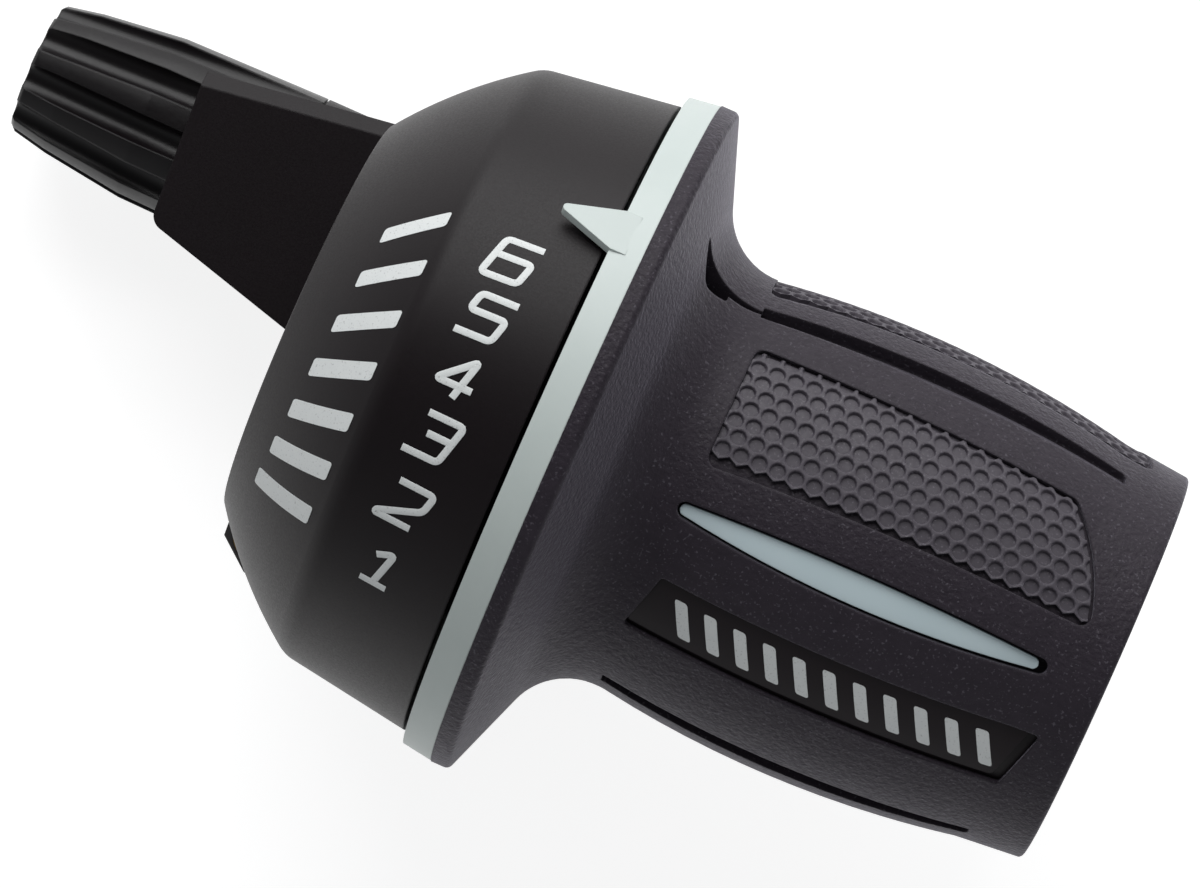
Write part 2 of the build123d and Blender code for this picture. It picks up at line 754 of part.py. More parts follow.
# Cable boss and hood, kept inside a cone so that they run into the band
with BuildPart() as cable_boss:
    hood_end = BOSS_FACE - HOOD_LEN
    spread_low = (ROOT_LOW - HOOD_LOW) / -hood_end
    spread_high = (ROOT_HIGH - HOOD_HIGH) / -hood_end
    with BuildSketch(Plane.XY.offset(hood_z)):
        hood = Polygon(
            (hood_end, HOOD_LOW),
            (back_in, ROOT_LOW + spread_low * back_in),
            (back_in, ROOT_HIGH + spread_high * back_in),
            (hood_end - HOOD_SKEW, HOOD_HIGH),
            align=None,
        )
        ends = hood.vertices().sort_by(Axis.X)[:2]
        fillet(ends.sort_by(Axis.Y)[0], HOOD_CORNER)
    extrude(amount=-HOOD_DEPTH)
    with BuildSketch(Plane.XY.offset(hood_z)):
        Polygon(
            (BOSS_FACE, ROOT_LOW + spread_low * BOSS_FACE),
            (back_in, ROOT_LOW + spread_low * back_in),
            (back_in, ROOT_HIGH + spread_high * back_in),
            (BOSS_FACE, ROOT_HIGH + spread_high * BOSS_FACE),
            align=None,
        )
    extrude(amount=barrel_z - hood_z)
    chamfer(cable_boss.faces().sort_by(Axis.Z)[-1].edges().sort_by(Axis.Y)[-1], HOOD_CHAMFER)
    with BuildSketch(beside(BOSS_FACE)):
        Circle(BOSS_R)
    extrude(amount=wheel_in - BOSS_FACE)
    with BuildSketch(Plane.XY) as cone:
        Polygon(
            (hood_end - OVERCUT, 0),
            (hood_end - OVERCUT, barrel_far + BOSS_R + OVERCUT),
            (BOSS_SLOPE, barrel_far + BOSS_R + OVERCUT),
            (wheel_in, crease_r),
            (wheel_in, 0),
            align=None,
        )
    revolve(cone.sketch, axis=Axis.X, mode=Mode.INTERSECT)
    with BuildSketch(beside(BOSS_FACE)):
        Circle(pocket_r)
    extrude(amount=-HOOD_LEN - HOOD_SKEW - OVERCUT, mode=Mode.SUBTRACT)

# Housing: one moulding of shell, split clamp, cable boss and screw posts
with BuildPart() as housing:
    bevel_mid = (back_in / 2, (face_r + crease_r) / 2 + BEVEL_BULGE)
    with BuildSketch(Plane.XY) as shell_profile:
        with BuildLine():
            ThreePointArc((0, face_r), bevel_mid, (back_in, crease_r))
            Polyline((back_in, crease_r), (rim_x, lip_r), (rim_x, clamp_r), (0, clamp_r), (0, face_r))
        make_face()
        fillet(shell_profile.vertices().sort_by_distance((back_in, crease_r, 0))[0], CREASE_FILLET)
        fillet(shell_profile.vertices().sort_by_distance((0, face_r, 0))[0], FACE_FILLET)
    revolve(axis=Axis.X)
    # Hollow between the bevel and the clamp hub
    with BuildSketch(Plane.XY):
        with BuildLine():
            hollow_mid = (back_in / 2, bevel_mid[1] - SHELL - BEVEL_BULGE / 2)
            ThreePointArc((0, face_in_r), hollow_mid, (back_in, crease_r - SHELL))
            Polyline((back_in, crease_r - SHELL), (back_in, clamp_r), (0, clamp_r), (0, face_in_r))
        make_face()
    revolve(axis=Axis.X, mode=Mode.SUBTRACT)
    # Way out for the clamp lugs, then the hub and the lugs
    with BuildSketch(along_turn(SLIT_ANGLE, 0, 0, -LUG_NEAR - LUG_ROOM)):
        with Locations((0, hub_r)):
            Rectangle(2 * HUB_LEN, crease_r, align=(Align.CENTER, Align.MIN))
    extrude(amount=LUG_NEAR + LUG_ROOM + NOTCH_FAR, mode=Mode.SUBTRACT)
    with BuildSketch(across(0)):
        Circle(hub_r)
    extrude(amount=back_in)
    with BuildSketch(along_turn(SLIT_ANGLE, 0, 0, -LUG_NEAR)):
        lug_top = hub_r + LUG_RISE
        Polygon(
            (LUG_IN, bar_r),
            (LUG_IN, lug_top - LUG_SLOPE),
            (LUG_IN + LUG_SLOPE_LEN, lug_top),
            (LUG_IN + LUG_WIDTH, lug_top),
            (LUG_IN + LUG_WIDTH, bar_r),
            align=None,
        )
    extrude(amount=LUG_NEAR + LUG_FAR)
    add(cable_boss.part)
    # Room for the mechanism, with a seat for the retainer ring
    with BuildSketch(Plane.XY):
        Polygon(
            (back_out, 0),
            (back_out, cavity_r),
            (seat_x, cavity_r),
            (seat_x, seat_r),
            (rim_x + OVERCUT, seat_r),
            (rim_x + OVERCUT, 0),
            align=None,
        )
    revolve(axis=Axis.X, mode=Mode.SUBTRACT)
    with BuildSketch(across(back_out)):
        with PolarLocations(post_ring_r, POSTS, POST_START):
            Circle(POST_R)
    extrude(amount=seat_x - back_out)
    with BuildSketch(across(seat_x)):
        with PolarLocations(post_ring_r, POSTS, POST_START):
            Circle(RET_SCREW_DIA / 2)
    extrude(amount=RETAINER_T - RET_SCREW_LEN, mode=Mode.SUBTRACT)
    # Pegs that keep the ends of the leaf spring against the wall
    with BuildSketch(across(back_out)):
        peg_turn = (SPRING_BEND + SPRING_END) / 2
        peg_r = leaf_end_r * cos(radians(SPRING_END - peg_turn)) - SPRING_T - PEG_GAP
        for turn in (SPRING_ANGLE - peg_turn, SPRING_ANGLE + peg_turn):
            with Locations(Location(polar(peg_r, turn), turn)):
                Rectangle(PEG_RISE, PEG_SPAN, align=(Align.MAX, Align.CENTER))
    extrude(amount=wheel_out - back_out)
    # Bore for the bar, slit and relief so that the clamp can close
    with BuildSketch(across(hood_end - OVERCUT)):
        Circle(clamp_r)
    extrude(amount=HUB_LEN - hood_end + OVERCUT, mode=Mode.SUBTRACT)
    with BuildSketch(across(HUB_LEN)):
        Circle(bar_r + BACK_BORE_GAP)
    extrude(amount=RELIEF + BACK_WALL, mode=Mode.SUBTRACT)
    with BuildSketch(across(HUB_LEN)):
        with BuildLine():
            CenterArc((0, 0), hub_r, SLIT_ANGLE - 90, 180)
            Line(polar(hub_r, SLIT_ANGLE + 90), polar(hub_r, SLIT_ANGLE - 90))
        make_face()
    extrude(amount=RELIEF, mode=Mode.SUBTRACT)
    with BuildSketch(along_turn(SLIT_ANGLE, 0, 0, -SLIT_WIDTH / 2)):
        Rectangle(back_in, lug_top + OVERCUT, align=Align.MIN)
    extrude(amount=SLIT_WIDTH, mode=Mode.SUBTRACT)
    # Holes for the clamp screw and its insert
    with BuildSketch(along_turn(SLIT_ANGLE, lug_x, screw_r, 0)):
        Circle(CLAMP_SCREW_DIA / 2 + SCREW_GAP)
    extrude(amount=LUG_NEAR + OVERCUT, both=True, mode=Mode.SUBTRACT)
    with BuildSketch(along_turn(SLIT_ANGLE, lug_x, screw_r, -LUG_NEAR)):
        Circle(CLAMP_SCREW_DIA / 2 + INSERT_WALL)
    extrude(amount=INSERT_LEN, mode=Mode.SUBTRACT)
    # Stem hole, hole for the elbow and the open slot it drops into
    with BuildSketch(beside(BOSS_FACE)):
        Circle(STEM_DIA / 2 + STEM_RUN)
    extrude(amount=GUIDE_START - BOSS_FACE, mode=Mode.SUBTRACT)
    with BuildSketch(beside(GUIDE_START)):
        Circle(GUIDE_DIA / 2)
    extrude(amount=elbow_in - GUIDE_START, mode=Mode.SUBTRACT)
    with BuildSketch(elbow_plane):
        with BuildLine():
            inner = ELBOW_R - GUIDE_DIA / 2
            JernArc((elbow_in, GUIDE_DIA / 2), (1, 0), inner, 90)
            Polyline(
                (elbow_in + inner, ELBOW_R),
                (wheel_in, ELBOW_R),
                (wheel_in, -GUIDE_DIA / 2),
                (elbow_in, -GUIDE_DIA / 2),
                (elbow_in, GUIDE_DIA / 2),
            )
        make_face()
    extrude(amount=GUIDE_DIA / 2, both=True, mode=Mode.SUBTRACT)
housing.part.label = "housing"

os.makedirs("parts", exist_ok=True)
for piece in (
    housing,
    retainer_ring,
    retainer_screws,
    thrust_washer,
    detent_spring,
    cable_guide,
    clamp_screw,
    clamp_insert,
    adjuster_spring,
    adjuster_washer,
    barrel_adjuster,
    grip_core,
    indicator_ring,
    grip_sleeve,
    grip_inlay,
):
    export_step(piece.part, f"parts/{piece.part.label}.step")
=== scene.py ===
"""Looks of a twist grip shifter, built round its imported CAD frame."""

import logging
import math
from collections.abc import Callable, Iterator
from contextlib import contextmanager
from dataclasses import dataclass, field, fields
from enum import Enum

import bmesh
import bpy
from mathutils import Matrix, Vector


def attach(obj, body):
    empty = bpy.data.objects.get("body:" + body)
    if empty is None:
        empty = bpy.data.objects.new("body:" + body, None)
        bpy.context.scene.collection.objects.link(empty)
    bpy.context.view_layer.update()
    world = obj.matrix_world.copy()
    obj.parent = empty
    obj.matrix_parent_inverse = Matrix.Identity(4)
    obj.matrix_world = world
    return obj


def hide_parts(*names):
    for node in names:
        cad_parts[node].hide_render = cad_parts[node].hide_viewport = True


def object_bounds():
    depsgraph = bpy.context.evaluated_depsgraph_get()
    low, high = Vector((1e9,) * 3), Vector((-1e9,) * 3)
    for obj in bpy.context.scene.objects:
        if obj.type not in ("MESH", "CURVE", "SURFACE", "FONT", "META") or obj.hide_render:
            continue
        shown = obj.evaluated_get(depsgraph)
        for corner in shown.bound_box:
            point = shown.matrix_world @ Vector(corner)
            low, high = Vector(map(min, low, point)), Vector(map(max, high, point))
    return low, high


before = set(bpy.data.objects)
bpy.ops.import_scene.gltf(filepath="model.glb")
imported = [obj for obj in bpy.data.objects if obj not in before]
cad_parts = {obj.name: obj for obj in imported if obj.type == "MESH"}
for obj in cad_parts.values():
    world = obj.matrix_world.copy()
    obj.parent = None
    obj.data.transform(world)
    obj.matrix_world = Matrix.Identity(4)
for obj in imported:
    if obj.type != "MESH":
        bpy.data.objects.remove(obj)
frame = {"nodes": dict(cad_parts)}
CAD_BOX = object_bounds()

log = logging.getLogger("twist_grip")

MM = 0.001
# Range that a noise pattern's value mostly keeps to
NOISE_RANGE = (0.3, 0.7)

Point = tuple[float, float]
Place = tuple[float, float, float]


class Body(str, Enum):
    """Bodies of the frame that new pieces ride on."""

    HOUSING = "housing"
    GRIP = "grip"


class Slot(str, Enum):
    """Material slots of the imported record."""

    HOUSING = "housing_nylon"
    RUBBER = "grip_rubber"
    RING = "ring_plastic"


class Lean(Enum):
    """Way that a slab on the grip or the housing leans over."""

    ALONG = "along the handlebar"
    ROUND = "round the handlebar"


def linear(hex_colour: str) -> tuple[float, float, float, float]:
    """Turn an sRGB hex colour into the linear colour that shaders take.

    Args:
        hex_colour: Six hex digits after a hash sign.

    Returns:
        Linear red, green, blue and a full alpha.
    """
    levels = [int(hex_colour[i : i + 2], 16) / 255 for i in (1, 3, 5)]
    red, green, blue = (c / 12.92 if c <= 0.04045 else ((c + 0.055) / 1.055) ** 2.4 for c in levels)
    return (red, green, blue, 1.0)


def per_metre(size_mm: float) -> float:
    """Scale of a pattern whose features are this many millimetres across."""
    return 1 / (size_mm * MM)


def add_node(
    tree: bpy.types.NodeTree,
    kind: str,
    values: dict[str | int, object] | None = None,
    links: dict[str | int, bpy.types.NodeSocket] | None = None,
    **settings: object,
) -> bpy.types.Node:
    """Add a node to a tree with its settings, values and links.

    Args:
        tree: Node tree that gets the node.
        kind: Type name of the node.
        values: Default values of inputs, by name or number.
        links: Sockets that feed inputs, by name or number.
        settings: Properties of the node itself.

    Returns:
        The new node.
    """
    made = tree.nodes.new(kind)
    for name, value in settings.items():
        setattr(made, name, value)
    for socket, value in (values or {}).items():
        made.inputs[socket].default_value = value
    for socket, source in (links or {}).items():
        tree.links.new(source, made.inputs[socket])
    return made


def blank_material(name: str) -> tuple[bpy.types.Material, bpy.types.NodeTree]:
    """Make a material with an empty node tree.

    Args:
        name: Name of the material.

    Returns:
        The material and its tree.
    """
    material = bpy.data.materials.new(name)
    material.use_nodes = True
    material.node_tree.nodes.clear()
    return material, material.node_tree


@dataclass(frozen=True)
class MouldedFinish:
    """A moulded plastic or rubber: mottled colour, grain, soft edges and optional specks.

    Sizes are in millimetres. The mottle is the slow change of colour over a moulding, the grain
    is the spark-eroded texture of the tool.
    """

    name: str
    colour: str
    mottle_colour: str
    roughness: float
    roughness_spread: float
    grain: float
    grain_depth: float
    mottle: float = 4.0
    edge: float = 0.15
    ior: float = 1.5
    specular: float = 0.5
    sheen: float = 0.0
    sheen_colour: str = "#ffffff"
    sheen_roughness: float = 0.4
    speck_colour: str = ""
    speck: float = 0.2
    speck_share: float = 0.3
    speck_range: Point = (0.62, 0.78)

    def build(self) -> bpy.types.Material:
        """Build the material.

        Returns:
            The finished material.
        """
        material, tree = blank_material(self.name)
        place = add_node(tree, "ShaderNodeTexCoord").outputs["Object"]
        mottle = add_node(
            tree,
            "ShaderNodeTexNoise",
            {"Scale": per_metre(self.mottle), "Detail": 4.0, "Roughness": 0.6},
            {"Vector": place},
        )
        grain = add_node(
            tree,
            "ShaderNodeTexNoise",
            {"Scale": per_metre(self.grain), "Detail": 3.0, "Roughness": 0.55},
            {"Vector": place},
        )
        colour = add_node(
            tree,
            "ShaderNodeMix",
            {6: linear(self.colour), 7: linear(self.mottle_colour)},
            {0: mottle.outputs["Fac"]},
            data_type="RGBA",
        ).outputs[2]
        if self.speck_colour:
            colour = self.add_specks(tree, place, colour)
        low, high = NOISE_RANGE
        rough = add_node(
            tree,
            "ShaderNodeMapRange",
            {
                "From Min": low,
                "From Max": high,
                "To Min": self.roughness - self.roughness_spread,
                "To Max": self.roughness + self.roughness_spread,
            },
            {"Value": grain.outputs["Fac"]},
        )
        edge = add_node(tree, "ShaderNodeBevel", {"Radius": self.edge * MM}, samples=4)
        bump = add_node(
            tree,
            "ShaderNodeBump",
            {"Strength": 1.0, "Distance": self.grain_depth * MM},
            {"Height": grain.outputs["Fac"], "Normal": edge.outputs["Normal"]},
        )
        shader = add_node(
            tree,
            "ShaderNodeBsdfPrincipled",
            {
                "IOR": self.ior,
                "Specular IOR Level": self.specular,
                "Sheen Weight": self.sheen,
                "Sheen Roughness": self.sheen_roughness,
                "Sheen Tint": linear(self.sheen_colour),
            },
            {"Base Color": colour, "Roughness": rough.outputs["Result"], "Normal": bump.outputs["Normal"]},
        )
        add_node(tree, "ShaderNodeOutputMaterial", links={"Surface": shader.outputs["BSDF"]})
        return material

    def add_specks(
        self, tree: bpy.types.NodeTree, place: bpy.types.NodeSocket, colour: bpy.types.NodeSocket
    ) -> bpy.types.NodeSocket:
        """Scatter pale specks of mould dust over the colour.

        Args:
            tree: Node tree of the material.
            place: Coordinates of the surface.
            colour: Colour under the specks.

        Returns:
            The speckled colour.
        """
        dust = add_node(
            tree,
            "ShaderNodeTexNoise",
            {"Scale": per_metre(self.speck), "Detail": 1.0},
            {"Vector": place},
        )
        faint, full = self.speck_range
        share = add_node(
            tree,
            "ShaderNodeMapRange",
            {"From Min": faint, "From Max": full, "To Min": 0.0, "To Max": self.speck_share},
            {"Value": dust.outputs["Fac"]},
        )
        mixed = add_node(
            tree,
            "ShaderNodeMix",
            {7: linear(self.speck_colour)},
            {0: share.outputs["Result"], 6: colour},
            data_type="RGBA",
        )
        return mixed.outputs[2]


@dataclass(frozen=True)
class MetalFinish:
    """A drawn, turned or plated metal with fine lines and a little tarnish, sizes in millimetres.

    The roughness changes along the lines by a share of itself.
    """

    name: str
    colour: str
    tarnish_colour: str
    roughness: float
    roughness_share: float = 0.3
    tarnish: float = 2.0
    line: float = 0.12
    line_stretch: float = 12.0
    line_depth: float = 0.004
    line_strength: float = 0.6
    metallic: float = 1.0

    def build(self) -> bpy.types.Material:
        """Build the material.

        Returns:
            The finished material.
        """
        material, tree = blank_material(self.name)
        place = add_node(tree, "ShaderNodeTexCoord").outputs["Object"]
        stretched = add_node(
            tree, "ShaderNodeMapping", {"Scale": (self.line_stretch, 1.0, 1.0)}, {"Vector": place}
        )
        lines = add_node(
            tree,
            "ShaderNodeTexNoise",
            {"Scale": per_metre(self.line * self.line_stretch), "Detail": 3.0},
            {"Vector": stretched.outputs["Vector"]},
        )
        tarnish = add_node(
            tree, "ShaderNodeTexNoise", {"Scale": per_metre(self.tarnish), "Detail": 4.0}, {"Vector": place}
        )
        colour = add_node(
            tree,
            "ShaderNodeMix",
            {6: linear(self.colour), 7: linear(self.tarnish_colour)},
            {0: tarnish.outputs["Fac"]},
            data_type="RGBA",
        )
        rough = add_node(
            tree,
            "ShaderNodeMapRange",
            {
                "To Min": self.roughness * (1 - self.roughness_share),
                "To Max": self.roughness * (1 + self.roughness_share),
            },
            {"Value": lines.outputs["Fac"]},
        )
        bump = add_node(
            tree,
            "ShaderNodeBump",
            {"Strength": self.line_strength, "Distance": self.line_depth * MM},
            {"Height": lines.outputs["Fac"]},
        )
        shader = add_node(
            tree,
            "ShaderNodeBsdfPrincipled",
            {"Metallic": self.metallic},
            {
                "Base Color": colour.outputs[2],
                "Roughness": rough.outputs["Result"],
                "Normal": bump.outputs["Normal"],
            },
        )
        add_node(tree, "ShaderNodeOutputMaterial", links={"Surface": shader.outputs["BSDF"]})
        return material


@dataclass(frozen=True)
class FinishSet:
    """Every finish on the shifter."""

    # Glass-filled nylon from an eroded tool: near black, a little warm, satin; also laid as painted shade
    # in the plate's gap
    housing: MouldedFinish = MouldedFinish(
        "housing_nylon_moulded", "#0e080b", "#130b0f", 0.45, 0.06, grain=0.16, grain_depth=0.006, edge=0.25,
        specular=0.25,
    )
    # Thermoplastic rubber: violet grey, dull, with a bloom at low angles and pale dust in its grain
    rubber: MouldedFinish = MouldedFinish(
        "grip_rubber_moulded", "#252027", "#332d35", 0.52, 0.08, grain=0.4, grain_depth=0.1, edge=0.3,
        mottle=1.2, ior=1.28, sheen=0.55, sheen_colour="#c8c4d2", speck_colour="#6d6972", speck=0.24,
        speck_share=0.45,
    )
    # The same rubber in the dimpled fields, in a paler tone with paler specks
    dimple: MouldedFinish = MouldedFinish(
        "dimpled_rubber_moulded", "#3c373f", "#48434b", 0.58, 0.08, grain=0.3, grain_depth=0.02, edge=0.05,
        specular=0.45, sheen=0.35, sheen_colour="#c8c4d2", speck_colour="#8d8a92", speck=0.18,
        speck_share=0.35,
    )
    # Black ABS plate in the plain recess: smooth, so it shows darker than the rubber round it
    plate: MouldedFinish = MouldedFinish(
        "plate_abs_smooth", "#1b1518", "#20191d", 0.35, 0.04, grain=0.3, grain_depth=0.002, edge=0.08,
        specular=0.2,
    )
    # Pale green-grey ABS, satin from a fine blasted tool
    ring: MouldedFinish = MouldedFinish(
        "ring_abs_moulded", "#c3cdca", "#cbd4d1", 0.42, 0.05, grain=0.2, grain_depth=0.003, edge=0.12
    )
    # The same plastic in the grip, a shade bluer and duller from handling
    inlay: MouldedFinish = MouldedFinish(
        "inlay_abs_moulded", "#c8dadf", "#cfdfe4", 0.45, 0.06, grain=0.2, grain_depth=0.003, edge=0.1
    )
    # Acetal knob from a polished tool: black, with clear reflections on its ridges
    knob: MouldedFinish = MouldedFinish(
        "knob_acetal_polished", "#0d0a0c", "#120e10", 0.32, 0.04, grain=0.3, grain_depth=0.003, edge=0.25,
        specular=0.3,
    )
    # Acetal of the inner pieces: dark grey, waxy
    acetal: MouldedFinish = MouldedFinish(
        "acetal_moulded", "#37373a", "#414145", 0.38, 0.05, grain=0.25, grain_depth=0.003, edge=0.1
    )
    # Pad-printed ink, thin and slightly broken over the grain below it
    ink: MouldedFinish = MouldedFinish(
        "pad_print_ink", "#dde1e1", "#e6e9e8", 0.5, 0.06, grain=0.14, grain_depth=0.004, edge=0.02,
        mottle=0.8, speck_colour="#8f8f90", speck=0.16, speck_share=0.5,
    )
    # Rolled spring steel: bright grey with lines along the strip
    spring_steel: MetalFinish = MetalFinish("spring_steel_rolled", "#b4b4b6", "#9c9b9a", 0.3)
    # Zinc-plated steel: pale and slightly clouded
    zinc_steel: MetalFinish = MetalFinish("zinc_plated_steel", "#c4c5c4", "#aeb0ac", 0.34)
    # Black oxide on steel: dark, with a dull gleam on its edges
    black_steel: MetalFinish = MetalFinish("black_oxide_steel", "#2c2c2f", "#39383a", 0.36)
    # Turned brass that has tarnished in use: brown, with little gold left
    brass: MetalFinish = MetalFinish("turned_brass_tarnished", "#6b5630", "#4a3c22", 0.4)


@contextmanager
def editing(piece: bpy.types.Object) -> Iterator[bpy.types.Mesh]:
    """Edit mode on one piece, with nothing else selected.

    Args:
        piece: Mesh object to edit.

    Yields:
        The mesh in edit mode.
    """
    bpy.ops.object.select_all(action="DESELECT")
    piece.select_set(True)
    bpy.context.view_layer.objects.active = piece
    bpy.ops.object.mode_set(mode="EDIT")
    yield piece.data
    bpy.ops.object.mode_set(mode="OBJECT")


def pick(mesh: bpy.types.Mesh, test: Callable[[Vector], bool]) -> None:
    """Select the vertices of a mesh in edit mode that pass a test, and what lies between them.

    Args:
        mesh: Mesh in edit mode.
        test: Says of a vertex's place whether it is wanted.
    """
    bpy.ops.mesh.select_all(action="DESELECT")
    shape = bmesh.from_edit_mesh(mesh)
    for vertex in shape.verts:
        vertex.select_set(test(vertex.co))
    shape.select_flush(True)
    bmesh.update_edit_mesh(mesh)


def apply_modifiers(piece: bpy.types.Object) -> None:
    """Apply every modifier of a piece, in order.

    Args:
        piece: Mesh object with modifiers.
    """
    bpy.ops.object.select_all(action="DESELECT")
    piece.select_set(True)
    bpy.context.view_layer.objects.active = piece
    for modifier in list(piece.modifiers):
        bpy.ops.object.modifier_apply(modifier=modifier.name)


def smooth(piece: bpy.types.Object, degrees: float) -> None:
    """Shade a piece smooth where its faces meet at less than an angle.

    Args:
        piece: Mesh object to shade.
        degrees: Angle above which an edge stays sharp.
    """
    bpy.ops.object.select_all(action="DESELECT")
    piece.select_set(True)
    bpy.context.view_layer.objects.active = piece
    bpy.ops.object.shade_smooth_by_angle(angle=math.radians(degrees))


@dataclass(frozen=True)
class ArcProfile:
    """Surface turned about the bar whose section is an arc through three points, in millimetres."""

    first: Point
    middle: Point
    last: Point

    def centre(self) -> tuple[float, float, float]:
        """Find the arc's circle.

        Returns:
            Place along the bar, height above it, and radius.
        """
        (ax, ay), (bx, by), (cx, cy) = self.first, self.middle, self.last
        turn = 2 * (ax * (by - cy) + bx * (cy - ay) + cx * (ay - by))
        squares = [x * x + y * y for x, y in (self.first, self.middle, self.last)]
        x = (squares[0] * (by - cy) + squares[1] * (cy - ay) + squares[2] * (ay - by)) / turn
        y = (squares[0] * (cx - bx) + squares[1] * (ax - cx) + squares[2] * (bx - ax)) / turn
        return x, y, math.hypot(ax - x, ay - y)

    def radius(self, x: float) -> float:
        """Radius of the surface at a place along the bar."""
        centre_x, centre_y, arc = self.centre()
        return centre_y + math.sqrt(max(arc * arc - (x - centre_x) ** 2, 0.0))


@dataclass(frozen=True)
class LineProfile:
    """Cone about the bar between two points of its section, in millimetres."""

    first: Point
    last: Point

    def radius(self, x: float) -> float:
        """Radius of the surface at a place along the bar."""
        share = (x - self.first[0]) / (self.last[0] - self.first[0])
        return self.first[1] + share * (self.last[1] - self.first[1])


def wrap(
    piece: bpy.types.Object, radius: Callable[[float], float], turn: float, drum: float | None = None
) -> None:
    """Wrap a flat piece round the bar.

    The piece lies flat in millimetres: X along the bar, Y round it toward the front, Z up from
    the surface.

    Args:
        piece: Flat mesh object, at the origin.
        radius: Radius of the surface at a place along the bar.
        turn: Angle of the piece's middle line round the bar, in degrees from the front.
        drum: Radius that lengths round the bar are measured at, or the surface itself.
    """
    for vertex in piece.data.vertices:
        x, across, height = vertex.co
        surface = radius(x)
        angle = math.radians(turn) - across / (drum or surface)
        out = surface + height
        vertex.co = Vector((x, out * math.cos(angle), out * math.sin(angle))) * MM
    piece.data.update()


def dress(piece: bpy.types.Object, material: bpy.types.Material) -> None:
    """Give a piece one finish all over."""
    piece.data.materials.clear()
    piece.data.materials.append(material)


def settle(piece: bpy.types.Object, body: Body, material: bpy.types.Material) -> None:
    """Finish a new piece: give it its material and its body.

    Args:
        piece: New mesh object, in place.
        body: Body that it rides on.
        material: Finish of the piece.
    """
    dress(piece, material)
    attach(piece, body.value)
    log.info("%s rides on %s, %d faces", piece.name, body.value, len(piece.data.polygons))


@dataclass(frozen=True)
class DimpleCell:
    """One cell of the dimpled rubber: a hexagon of ridge round a flat-bottomed dimple, in millimetres.

    Corners closer than a share of the pitch are merged, and points are picked with a little to spare.
    """

    pitch: float = 1.48
    width: float = 1.28
    floor_width: float = 1.1
    depth: float = 0.28
    edge: float = 0.07
    sides: int = 12
    merge_share: float = 0.02
    spare: float = 1.01

    @property
    def row(self) -> float:
        """Distance between rows of cells."""
        return self.pitch * math.sqrt(3) / 2

    def build(self, name: str) -> bpy.types.Object:
        """Model one cell with its ridge at height zero.

        Args:
            name: Name of the new object.

        Returns:
            The cell, flat and in millimetres.
        """
        bpy.ops.object.select_all(action="DESELECT")
        bpy.ops.mesh.primitive_circle_add(vertices=6, radius=self.pitch / math.sqrt(3))
        cell = bpy.context.object
        cell.name = name
        rim = self.width / 2
        reach = rim * self.spare
        with editing(cell) as mesh:
            bpy.ops.mesh.select_all(action="SELECT")
            bpy.ops.mesh.subdivide(number_cuts=self.sides // 6 - 1)
            bpy.ops.mesh.primitive_circle_add(vertices=self.sides, radius=rim)
            bpy.ops.mesh.select_all(action="SELECT")
            bpy.ops.mesh.bridge_edge_loops()
            pick(mesh, lambda co: co.length < reach)
            bpy.ops.mesh.extrude_edges_move(TRANSFORM_OT_translate={"value": (0, 0, -self.depth)})
            shrink = self.floor_width / self.width
            bpy.ops.transform.resize(value=(shrink, shrink, 1), center_override=(0, 0, -self.depth))
            bpy.ops.mesh.edge_face_add()
            pick(mesh, lambda co: co.z > -self.depth / 2 and co.length < reach)
            bpy.ops.mesh.bevel(offset=self.edge, segments=2, affect="EDGES")
            bpy.ops.mesh.select_all(action="SELECT")
            bpy.ops.mesh.normals_make_consistent(inside=False)
        return cell


